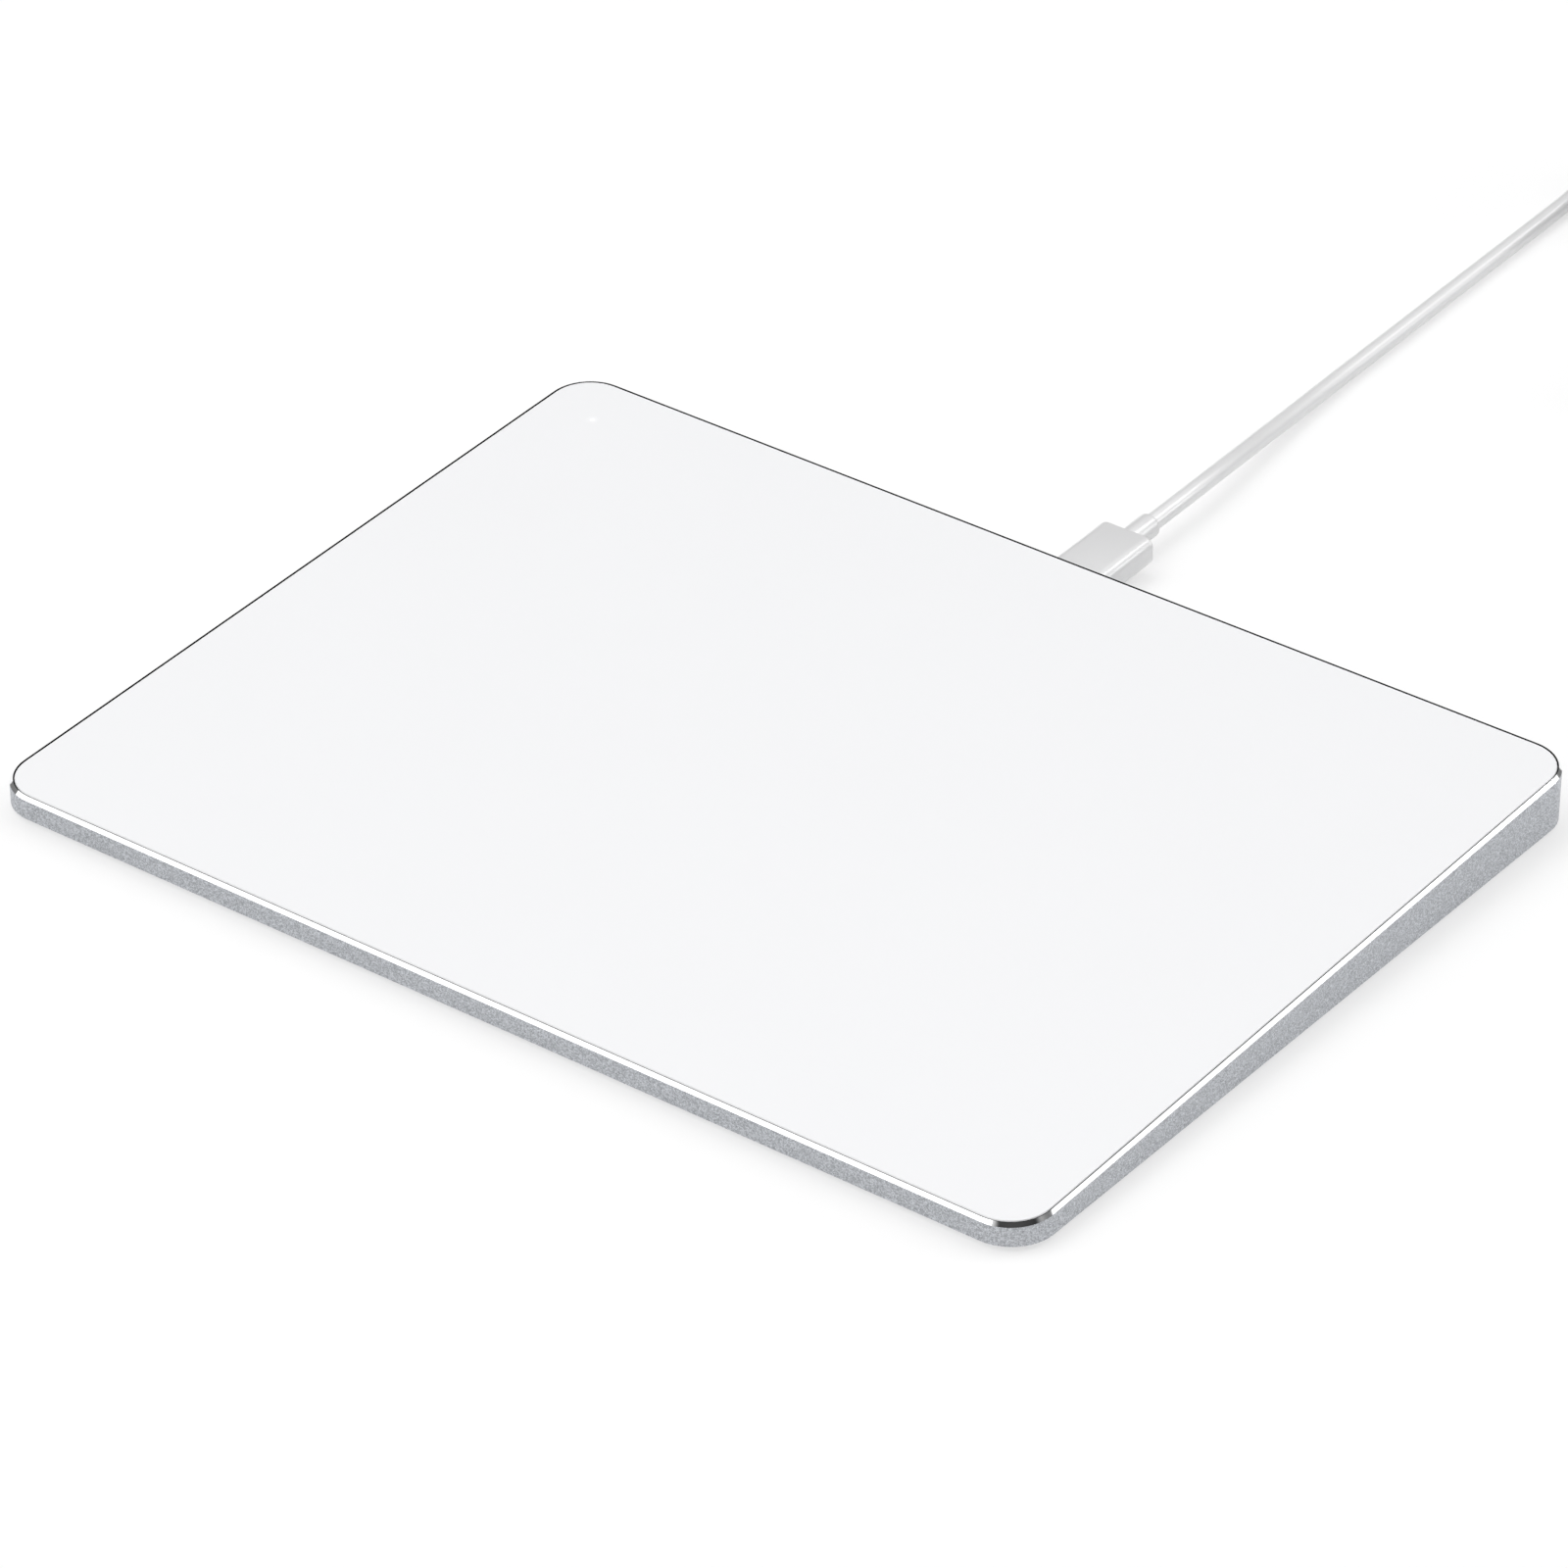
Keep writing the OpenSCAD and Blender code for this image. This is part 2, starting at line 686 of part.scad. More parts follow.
module usb_c_socket_contacts() {
  color("gold") on_port() for (i = [0:contact_count - 1], s = [0, 1]) mirror([0, 0, s])
    translate([(i - (contact_count - 1) / 2) * contact_pitch - contact_width / 2,
      mouth_v - tongue_setback - 0.4 - contact_length, tongue_thickness / 2])
      cube([contact_width, contact_length, contact_thickness]);
}

// Leaf spring, screwed to the shelf and welded under the carrier plate
module hinge_spring(s) {
  color("lightsteelblue") on_slope() difference() {
    translate([s * hinge_spread / 2 - spring_width / 2, hinge_v - spring_free / 2 - spring_seat,
      spring_w - spring_thickness])
      cube([spring_width, 2 * spring_seat + spring_free, spring_thickness]);
    for (x = [-1, 1])
      translate([s * hinge_spread / 2 + x * hinge_screw_half, hinge_screw_v, spring_w - spring_thickness - cut])
        cylinder(h = spring_thickness + 2 * cut, d = screw_d + 2 * screw_gap);
  }
}

module hinge_spring_left() {
  hinge_spring(-1);
}

module hinge_spring_right() {
  hinge_spring(1);
}

module hinge_screws() {
  color("dimgray") on_slope() for (s = [-1, 1], x = [-1, 1])
    translate([s * hinge_spread / 2 + x * hinge_screw_half, hinge_screw_v, spring_w - spring_thickness])
      pan_screw(spring_thickness + pan_screw_bite);
}

// Shim on the base cover that the plunger pushes against
module strike_pad() {
  tip = slope_point(0, switch_v, plunger_tip_w);
  color("gray") translate([0, tip[1], base_top_z])
    cylinder(h = tip[2] - base_top_z - strike_gap, d = switch_size - 1);
}

module stop_pads() {
  length = 12;
  color("white") on_slope() for (x = [-1, 1], side = [0.3, 0.75])
    translate([x * side * (pad_width / 2 - corner_radius) - length / 2, front_v + glass_inset + 0.1, -pocket_drop])
      cube([length, wall - glass_inset - 0.1, stop_thickness]);
}

module glass_top() {
  w = pad_width - 2 * glass_inset;
  l = slope_length - 2 * glass_inset;
  r = corner_radius - glass_inset;
  color("white") on_slope() {
    translate([0, 0, -glass_bevel]) mirror([0, 0, 1]) tapered_plate(w, l, r, glass_thickness - glass_bevel, 0);
    translate([0, 0, -glass_bevel]) tapered_plate(w, l, r, glass_bevel, glass_bevel);
  }
}

// Outline of the touch board: it stops before the shelf, with an ear in each rear corner
module touch_outline() {
  half = pad_width / 2 - board_margin;
  ear = shelf_half + 5 * plate_gap;
  polygon([
    [-half, front_v + board_margin], [half, front_v + board_margin],
    [half, rear_v - board_margin], [ear, rear_v - board_margin],
    [ear, rear_v - plate_rear], [-ear, rear_v - plate_rear],
    [-ear, rear_v - board_margin], [-half, rear_v - board_margin]
  ]);
}

module light_hole() {
  translate([light_x, light_v]) circle(light_d / 2 + thread_gap);
}

module glass_adhesive() {
  color("whitesmoke") on_slope() translate([0, 0, touch_board_w]) linear_extrude(adhesive_thickness)
    difference() {
      touch_outline();
      light_hole();
    }
}

module touch_board() {
  color("green") on_slope() translate([0, 0, carrier_w]) linear_extrude(touch_board_thickness)
    difference() {
      touch_outline();
      light_hole();
    }
}

// Window of the carrier plate round a part of the touch board
module window(at, size) {
  translate(at) square(size + [2 * window_gap, 2 * window_gap], center = true);
}

module carrier_plate() {
  color("lightslategray") on_slope() translate([0, 0, spring_w]) linear_extrude(carrier_thickness)
    difference() {
      translate([carrier_side - pad_width / 2, front_v + carrier_front])
        square([pad_width - 2 * carrier_side, slope_length - carrier_front - plate_rear]);
      window([0, switch_v], [switch_size, switch_size]);
      window(touch_chip_at, [chip_size, chip_size]);
      window([light_x, light_v], [led_size[0], led_size[1]]);
      window([0, touch_connector_v + connector_depth / 2], [connector_width, 2 * connector_depth]);
    }
}

module touch_chip() {
  color("black") on_slope()
    translate([touch_chip_at[0] - chip_size / 2, touch_chip_at[1] - chip_size / 2, carrier_w - chip_height])
      cube([chip_size, chip_size, chip_height]);
}

module touch_connector() {
  color("ivory") on_slope()
    translate([-connector_width / 2, touch_connector_v - connector_depth / 2, carrier_w - connector_height])
      cube([connector_width, connector_depth, connector_height]);
}

module status_led() {
  color("lightyellow") on_slope()
    translate([light_x - led_size[0] / 2, light_v - led_size[1] / 2, carrier_w - led_size[2]]) cube(led_size);
}

module led_light_pipe() {
  color("white") on_slope()
    translate([light_x, light_v, carrier_w]) cylinder(h = adhesive_w - carrier_w, d = light_d);
}

module click_switch() {
  color("darkslategray") on_slope() translate([0, switch_v, carrier_w]) difference() {
    translate([-switch_size / 2, -switch_size / 2, -switch_height])
      cube([switch_size, switch_size, switch_height]);
    translate([0, 0, switch_floor - switch_height])
      cylinder(h = switch_height - switch_floor - switch_roof, d = plunger_flange_d + 4 * plunger_gap);
    translate([0, 0, -switch_height - cut])
      cylinder(h = cut + switch_height / 2, d = plunger_d + 2 * plunger_gap);
  }
}

module switch_plunger() {
  color("firebrick") on_slope() translate([0, switch_v, plunger_tip_w]) {
    cylinder(h = plunger_out + switch_floor + plunger_flange, d = plunger_d);
    translate([0, 0, plunger_out + switch_floor + plunger_gap])
      cylinder(h = plunger_flange - plunger_gap, d = plunger_flange_d);
  }
}

module usb_c_plug_shell() {
  color("gainsboro") on_port() up_slope(plug_v - plug_shell_reach, plug_v + plug_shell_embed) difference() {
    stadium(plug_shell_width, plug_shell_height);
    stadium(plug_shell_width - 2 * plug_shell_wall, plug_shell_height - 2 * plug_shell_wall);
  }
}

module usb_c_plug_insert() {
  tip = plug_v - plug_shell_reach;
  color("black") on_port() difference() {
    up_slope(tip + 0.3, plug_v + plug_shell_embed)
      stadium(plug_shell_width - 2 * plug_shell_wall, plug_shell_height - 2 * plug_shell_wall);
    up_slope(tip - cut, tip + slot_depth)
      square([tongue_width + 2 * slot_gap, tongue_thickness + 2 * slot_gap], center = true);
  }
}

module usb_c_plug_housing() {
  color("white") on_port() difference() {
    translate([0, plug_v, 0]) bevelled_block(plug_width, plug_thickness, plug_length, 0.9, 0.4);
    up_slope(plug_v - cut, plug_v + plug_shell_embed) stadium(plug_shell_width, plug_shell_height);
  }
}

module usb_c_collar() {
  color("white") on_port() translate([0, collar_v, 0]) collar(collar_d, collar_length, (collar_d - cable_d) / 2);
}

module cable_lead() {
  color("white") tube(lead_line, lead_sides);
}

module cable_coil() {
  color("white") tube(coil_line, coil_sides);
}

// Strap round the bundle of turns, on the side of the coil away from the case
module cable_tie() {
  near = sqrt(pow(coil_in - cable_d / 2, 2) - pow(tie_width / 2, 2)) - tie_gap;
  across = coil_out + cable_d / 2 + tie_gap - near;
  high = (coil_layers - 1) * coil_pitch + cable_d + 2 * tie_gap;
  round_in = 1;
  color("whitesmoke")
    translate([coil_x, coil_y + near + across / 2, tie_thickness + high / 2])
      rotate([90, 0, 90]) translate([0, 0, -tie_width / 2]) linear_extrude(tie_width) difference() {
        rounded_rect(across + 2 * tie_thickness, high + 2 * tie_thickness, round_in + tie_thickness);
        rounded_rect(across, high, round_in);
      }
}

module cable_tail() {
  color("white") tube(tail_line, lead_sides);
}

// Axis of the far plug, which points back towards the case
module on_far_plug() {
  translate([far_x, far_y, far_z]) rotate([0, 0, 180]) children();
}

module usb_a_collar() {
  color("white") on_far_plug() translate([0, far_collar_length, 0]) mirror([0, 1, 0])
    collar(far_collar_d, far_collar_length, (far_collar_d - cable_d) / 2);
}

module usb_a_housing() {
  color("white") on_far_plug() difference() {
    translate([0, far_collar_length, 0]) bevelled_block(far_width, far_thickness, far_length, 1.5, 0.6);
    up_slope(far_collar_length + far_length - far_shell_embed, far_collar_length + far_length + cut)
      square([far_shell_width, far_shell_height], center = true);
  }
}

module usb_a_shell() {
  v0 = far_collar_length + far_length - far_shell_embed;
  color("gainsboro") on_far_plug() difference() {
    up_slope(v0, v0 + far_shell_embed + far_shell_reach)
      square([far_shell_width, far_shell_height], center = true);
    up_slope(v0 - cut, v0 + far_shell_embed + far_shell_reach + cut)
      square([far_shell_width - 2 * far_shell_wall, far_shell_height - 2 * far_shell_wall], center = true);
    for (x = [-1, 1])
      translate([x * far_shell_width / 5, v0 + far_shell_embed + far_shell_reach / 2, far_shell_height / 2])
        cube([2, 2.5, 2 * cut], center = true);
  }
}

module usb_a_insert() {
  v0 = far_collar_length + far_length - far_shell_embed;
  inside = [far_shell_width - 2 * far_shell_wall, far_shell_height - 2 * far_shell_wall];
  color("white") on_far_plug() {
    up_slope(v0, v0 + far_shell_embed) square(inside, center = true);
    up_slope(v0, v0 + far_shell_embed + far_shell_reach - 0.5)
      translate([0, (far_insert_height - inside[1]) / 2]) square([inside[0], far_insert_height], center = true);
  }
}

case_frame();
base_cover();
base_screws();
foot_front_left();
foot_front_right();
foot_rear_left();
foot_rear_right();
main_board();
board_screws();
usb_chip();
board_connector();
flat_cable();
usb_c_socket_shell();
usb_c_socket_tongue();
usb_c_socket_contacts();
hinge_spring_left();
hinge_spring_right();
hinge_screws();
strike_pad();
stop_pads();
glass_top();
glass_adhesive();
touch_board();
carrier_plate();
touch_chip();
touch_connector();
status_led();
led_light_pipe();
click_switch();
switch_plunger();
usb_c_plug_shell();
usb_c_plug_insert();
usb_c_plug_housing();
usb_c_collar();
cable_lead();
cable_coil();
cable_tie();
cable_tail();
usb_a_collar();
usb_a_housing();
usb_a_shell();
usb_a_insert();
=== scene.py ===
"""Wired trackpad: cable, finishes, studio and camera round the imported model.

Metres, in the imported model's frame: +X right, +Y rear, +Z up, origin on the desk under the case.
"""
import json
import math

import bpy
from mathutils import Matrix, Vector


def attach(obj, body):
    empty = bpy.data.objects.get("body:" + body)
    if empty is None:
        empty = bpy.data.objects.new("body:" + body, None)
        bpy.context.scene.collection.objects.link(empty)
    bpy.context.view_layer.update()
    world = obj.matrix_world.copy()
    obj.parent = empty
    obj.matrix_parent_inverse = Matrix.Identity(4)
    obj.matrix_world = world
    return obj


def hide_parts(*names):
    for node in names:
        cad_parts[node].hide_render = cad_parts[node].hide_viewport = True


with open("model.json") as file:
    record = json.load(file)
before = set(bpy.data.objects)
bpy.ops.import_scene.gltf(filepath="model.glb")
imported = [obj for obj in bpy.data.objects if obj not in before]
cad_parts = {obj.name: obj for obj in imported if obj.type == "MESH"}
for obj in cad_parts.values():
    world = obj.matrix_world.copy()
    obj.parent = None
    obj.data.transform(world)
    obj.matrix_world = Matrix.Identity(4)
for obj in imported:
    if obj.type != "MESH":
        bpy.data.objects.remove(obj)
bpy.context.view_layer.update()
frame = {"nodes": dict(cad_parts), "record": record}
nodes = frame["nodes"]
scene = bpy.context.scene
MM = 0.001

# Sizes that the CAD source also has, in millimetres
PAD_WIDTH, PAD_DEPTH, CORNER = 180.0, 136.0, 7.0
FOOT_PROUD, FRONT_HEIGHT, REAR_HEIGHT = 0.7, 3.6, 8.65
RIM = 0.5
LIGHT_INSET = 10.25
SOCKET_W = -6.2963
PLUG_GAP, PLUG_SIZE, PLUG_EDGE, PLUG_END = 0.4, (9.7, 4.8, 16.7), 1.6, 0.4
COLLAR_D, COLLAR_LENGTH = 3.9, 6.0
CABLE_D = 2.8
FAR_SIZE, FAR_EDGE, FAR_END = (15.4, 7.4, 19.0), 1.5, 0.6
FAR_COLLAR_D, FAR_COLLAR_LENGTH = 4.6, 7.0
FOOT_SIZE, FOOT_RADIUS, FOOT_END = (24.0, 7.0, 1.0), 3.0, 0.15
FOOT_X, FOOT_Y = 66.0, 55.5
TIE_WIDTH, TIE_THICKNESS, TIE_GAP = 6.0, 0.6, 0.2

TILT = math.atan((REAR_HEIGHT - FRONT_HEIGHT) / PAD_DEPTH)
MIDDLE_Z = FOOT_PROUD + (FRONT_HEIGHT + REAR_HEIGHT) / 2
REAR_V = PAD_DEPTH / math.cos(TILT) / 2
SLOPE_UP = (0, -math.sin(TILT), math.cos(TILT))
PLUG_V = (PAD_DEPTH / 2 + SOCKET_W * math.sin(TILT)) / math.cos(TILT) + PLUG_GAP
COLLAR_V = PLUG_V + PLUG_SIZE[2]


def slope_point(x, v, w):
    """A point of the sloping touch surface's own frame, in metres."""
    return Vector((
        x,
        v * math.cos(TILT) - w * math.sin(TILT),
        MIDDLE_Z + v * math.sin(TILT) + w * math.cos(TILT),
    )) * MM


# Camera, solved from the straight edges in the photograph


def make_camera():
    focal_px, image_px = 8244.91, 1600
    elevation, azimuth, roll = (math.radians(a) for a in (32.93484, 36.64154, 0.45513))
    place = Vector((574.031, -771.897, 627.588)) * MM
    back = Vector((
        math.sin(azimuth) * math.cos(elevation),
        -math.cos(azimuth) * math.cos(elevation),
        math.sin(elevation),
    ))
    level = Vector((0, 0, 1)).cross(back).normalized()
    upright = back.cross(level)
    right = math.cos(roll) * level + math.sin(roll) * upright
    up = -math.sin(roll) * level + math.cos(roll) * upright
    data = bpy.data.cameras.new("camera")
    data.sensor_fit = "HORIZONTAL"
    data.sensor_width = 36
    data.lens = focal_px * data.sensor_width / image_px
    data.clip_start, data.clip_end = 0.01, 50
    camera = bpy.data.objects.new("camera", data)
    scene.collection.objects.link(camera)
    turn = Matrix((right, up, back)).transposed()
    camera.matrix_world = Matrix.Translation(place) @ turn.to_4x4()
    scene.camera = camera


make_camera()

# Cable: the CAD source's route, smoothed

LEAD_ROUTE = [
    (-0.1, 100, 4.1), (-0.4, 106, 3.98), (-0.9, 112, 3.66), (-1.45, 118, 3.22), (-2.1, 124, 2.74),
    (-2.65, 130, 2.3), (-3.15, 136, 1.94), (-3.6, 142, 1.68), (-3.95, 148, 1.52), (-4.2, 154, 1.44),
    (-4.45, 162, 1.42), (-4.7, 170, 1.42), (-5, 178, 1.42), (-5.25, 186, 1.42), (-5.5, 194, 1.42),
    (-5.75, 202, 1.42), (-6, 210, 1.42), (-6.25, 218, 1.5), (-6.45, 224, 1.7), (-6.6, 230, 2),
]
TAIL_ROUTE = [(0.2, 231.5, 11.8), (0.9, 228, 10.4), (1.9, 224.5, 8.3), (2.9, 221, 6.2), (3.7, 217.5, 4.6)]
COIL_X, COIL_Y, COIL_Z = 12.7, 240.0, TIE_THICKNESS + TIE_GAP + CABLE_D / 2
COIL_OUT, COIL_IN, COIL_PITCH = 19.325, 11.675, 3.4
COIL_TURNS, COIL_LAYERS = 2.25, 4
FAR_X, FAR_Y, FAR_Z = 36.0, 210.0, 3.7
POINTS_PER_TURN = 40


def coil_point(u):
    """A point of the coil after u turns: each layer spirals in or out, then climbs in half a turn."""
    span = COIL_TURNS + 0.5
    layer = min(math.floor(u / span), COIL_LAYERS - 1)
    turn = u - layer * span
    step = min(turn, COIL_TURNS) * COIL_PITCH
    radius = COIL_OUT - step if layer % 2 == 0 else COIL_IN + step
    climb = max(0.0, turn - COIL_TURNS) / 0.5
    angle = math.pi - 2 * math.pi * u
    return Vector((
        COIL_X + radius * math.cos(angle),
        COIL_Y + radius * math.sin(angle),
        COIL_Z + (layer + climb) * COIL_PITCH,
    ))


def smoothed(points, steps):
    """Points on a smooth line through all the points, steps to a stretch."""
    line = []
    last = len(points) - 1
    for i in range(last):
        a, b = points[max(i - 1, 0)], points[i]
        c, d = points[i + 1], points[min(i + 2, last)]
        for k in range(steps):
            t = k / steps
            line.append(0.5 * (
                2 * b + (c - a) * t + (2 * a - 5 * b + 4 * c - d) * t ** 2 + (3 * b - a - 3 * c + d) * t ** 3
            ))
    return line + [points[last]]


def cable_line():
    cable_v = COLLAR_V + COLLAR_LENGTH
    total = COIL_LAYERS * (COIL_TURNS + 0.5) - 0.5
    count = round(total * POINTS_PER_TURN)
    coil = [coil_point(total * i / count) for i in range(count + 1)]
    ahead = Vector((0, CABLE_D, 0))
    lead = [slope_point(0, cable_v, SOCKET_W) / MM, slope_point(0, cable_v + CABLE_D, SOCKET_W) / MM]
    lead += [Vector(p) for p in LEAD_ROUTE]
    lead += [coil[0] - 2 * ahead, coil[0] - ahead, coil[0]]
    tail = [coil[-1], coil[-1] - ahead, coil[-1] - 2 * ahead]
    tail += [Vector((COIL_X + COIL_OUT + dx, y, z)) for dx, y, z in TAIL_ROUTE]
    tail += [Vector((FAR_X, FAR_Y + CABLE_D, FAR_Z)), Vector((FAR_X, FAR_Y, FAR_Z))]
    return [p * MM for p in smoothed(lead, 4)[:-1] + coil + smoothed(tail, 4)[1:]]


def make_cable():
    line = cable_line()
    curve = bpy.data.curves.new("usb_cord", "CURVE")
    curve.dimensions = "3D"
    curve.bevel_depth = 1.0
    curve.bevel_resolution = 7
    curve.use_fill_caps = True
    spline = curve.splines.new("POLY")
    spline.points.add(len(line) - 1)
    for point, place in zip(spline.points, line):
        point.co = (*place, 1)
        point.radius = CABLE_D / 2 * MM
    spline.use_smooth = True
    cable = bpy.data.objects.new("usb_cord", curve)
    scene.collection.objects.link(cable)
    return cable, line


cable, cable_points = make_cable()

# Meshes


def rounded_rect(width, height, radius, steps=10):
    """Points round a rounded rectangle, counterclockwise."""
    points = []
    for corner, (sx, sy) in enumerate(((1, 1), (-1, 1), (-1, -1), (1, -1))):
        for k in range(steps + 1):
            a = math.pi / 2 * (corner + k / steps)
            points.append((
                sx * (width / 2 - radius) + radius * math.cos(a),
                sy * (height / 2 - radius) + radius * math.sin(a),
            ))
    return points


def circle(radius, steps=64):
    return [(radius * math.cos(2 * math.pi * k / steps), radius * math.sin(2 * math.pi * k / steps))
            for k in range(steps)]


def round_end(radius, steps=6):
    """Inset and distance from the end, along a rounded edge, from the end face inwards."""
    return [(radius * (1 - math.cos(a)), radius * (1 - math.sin(a)))
            for a in (math.pi / 2 * (1 - k / steps) for k in range(steps + 1))]


def loft(name, rings):
    """A closed mesh through rings of equally many points, with its ends capped."""
    n = len(rings[0])
    verts = [p for ring in rings for p in ring]
    faces = [list(range(n))[::-1], list(range(len(verts) - n, len(verts)))]
    for r in range(len(rings) - 1):
        for j in range(n):
            k = (j + 1) % n
            faces.append([r * n + j, r * n + k, (r + 1) * n + k, (r + 1) * n + j])
    mesh = bpy.data.meshes.new(name)
    mesh.from_pydata(verts, [], faces)
    mesh.validate()
    mesh.polygons.foreach_set("use_smooth", [True] * len(mesh.polygons))
    mesh.set_sharp_from_angle(angle=math.radians(40))
    piece = bpy.data.objects.new(name, mesh)
    scene.collection.objects.link(piece)
    return piece


def place_piece(piece, body, slot, *replaced):
    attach(piece, body)
    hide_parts(*replaced)
    return piece


def rounded_bar(name, size, edge, end, place):
    """A bar of size (across, up, along) with rounded edges and ends; place maps across, along, up."""
    width, height, length = size
    profile = round_end(end)
    stations = profile + [(inset, length - along) for inset, along in reversed(profile)]
    return loft(name, [
        [place(-x, along, z) for x, z in rounded_rect(width - 2 * inset, height - 2 * inset, edge - inset)]
        for inset, along in stations
    ])


def round_bar(name, stations, place):
    """A turned piece through stations (radius, along)."""
    return loft(name, [[place(-x, along, z) for x, z in circle(radius)] for radius, along in stations])


def at_plug(x, v, w):
    return slope_point(x, v, SOCKET_W + w)


def at_far_plug(x, along, z):
    return Vector((FAR_X - x, FAR_Y - along, FAR_Z + z)) * MM


def collar_stations(start, diameter, length):
    """Radius and distance along a collar whose far end is rounded off on to the cable."""
    off, chamfer = (diameter - CABLE_D) / 2, 0.12
    stations = [(diameter / 2 - chamfer, start), (diameter / 2, start + chamfer)]
    for k in range(9):
        a = math.pi / 2 * k / 8
        stations.append((diameter / 2 - off + off * math.cos(a), start + length - off + off * math.sin(a)))
    return stations


plug_housing = place_piece(
    rounded_bar("plug_body", PLUG_SIZE, PLUG_EDGE, PLUG_END,
                lambda x, y, z: at_plug(x, PLUG_V + y, z)),
    "usb_cable", "plug_white", "usb_c_plug_housing")
plug_collar = place_piece(
    round_bar("plug_collar", collar_stations(COLLAR_V, COLLAR_D, COLLAR_LENGTH), at_plug),
    "usb_cable", "plug_white", "usb_c_collar")

far_housing = place_piece(
    rounded_bar("far_plug_body", FAR_SIZE, FAR_EDGE, FAR_END,
                lambda x, y, z: at_far_plug(x, FAR_COLLAR_LENGTH + y, z)),
    "usb_cable", "plug_white", "usb_a_housing")
far_collar = place_piece(
    round_bar("far_plug_collar", [
        (radius, FAR_COLLAR_LENGTH - along)
        for radius, along in reversed(collar_stations(0, FAR_COLLAR_D, FAR_COLLAR_LENGTH))
    ], at_far_plug),
    "usb_cable", "plug_white", "usb_a_collar")


def make_strap():
    """Strap round the coil's turns: once round, then on over its own start to a rounded tip."""
    near = math.sqrt((COIL_IN - CABLE_D / 2) ** 2 - (TIE_WIDTH / 2) ** 2) - TIE_GAP
    across = COIL_OUT + CABLE_D / 2 + TIE_GAP - near
    high = (COIL_LAYERS - 1) * COIL_PITCH + CABLE_D + 2 * TIE_GAP
    side, top, bend = (across + TIE_THICKNESS) / 2, (high + TIE_THICKNESS) / 2, 1 + TIE_THICKNESS / 2
    overlap, lift, tip = 5.0, 3.0, 2.2
    thickness, edge = TIE_THICKNESS * 0.94, TIE_THICKNESS * 0.3
    lift_steps, tip_steps = 12, 20
    path = [(side, -overlap / 2)] + rounded_rect(2 * side, 2 * top, bend, 8)
    for k in range(1, lift_steps + 1):
        t = k / lift_steps
        out = TIE_THICKNESS * t * t * (3 - 2 * t)
        path.append((side + out, -overlap / 2 - lift + t * lift))
    for k in range(1, tip_steps + 1):
        path.append((side + TIE_THICKNESS, -overlap / 2 + (overlap + tip) * k / tip_steps))
    rings = []
    for i, (y, z) in enumerate(path):
        before, after = path[max(i - 1, 0)], path[min(i + 1, len(path) - 1)]
        ahead = Vector((0, after[0] - before[0], after[1] - before[1])).normalized()
        out = Vector((0, ahead.z, -ahead.y))
        at_tip = i >= len(path) - tip_steps
        from_tip = min(1.0, (overlap / 2 + tip - z) / tip) if at_tip else 1.0
        width = TIE_WIDTH * math.sqrt(max(0.02, 1 - (1 - from_tip) ** 2))
        middle = Vector((COIL_X, COIL_Y + near + across / 2 + y, TIE_THICKNESS + high / 2 + z))
        rings.append([
            (middle + Vector((a, 0, 0)) + b * out) * MM
            for a, b in rounded_rect(width, thickness, edge, 3)
        ])
    return loft("coil_strap", rings)


strap = place_piece(make_strap(), "usb_cable", "tie_white", "cable_tie")

feet = []
for side, x in (("left", -FOOT_X), ("right", FOOT_X)):
    for end, y in (("front", -FOOT_Y), ("rear", FOOT_Y)):
        feet.append(place_piece(
            rounded_bar(f"pad_foot_{end}_{side}", FOOT_SIZE, FOOT_RADIUS, FOOT_END,
                        lambda a, up, b, x=x, y=y: Vector((x - a, y + b, up)) * MM),
            "case", "foot_rubber", f"foot_{end}_{side}"))

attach(cable, "usb_cable")
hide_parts("cable_lead", "cable_coil", "cable_tail")
tuple(cable_points[0])

# Materials


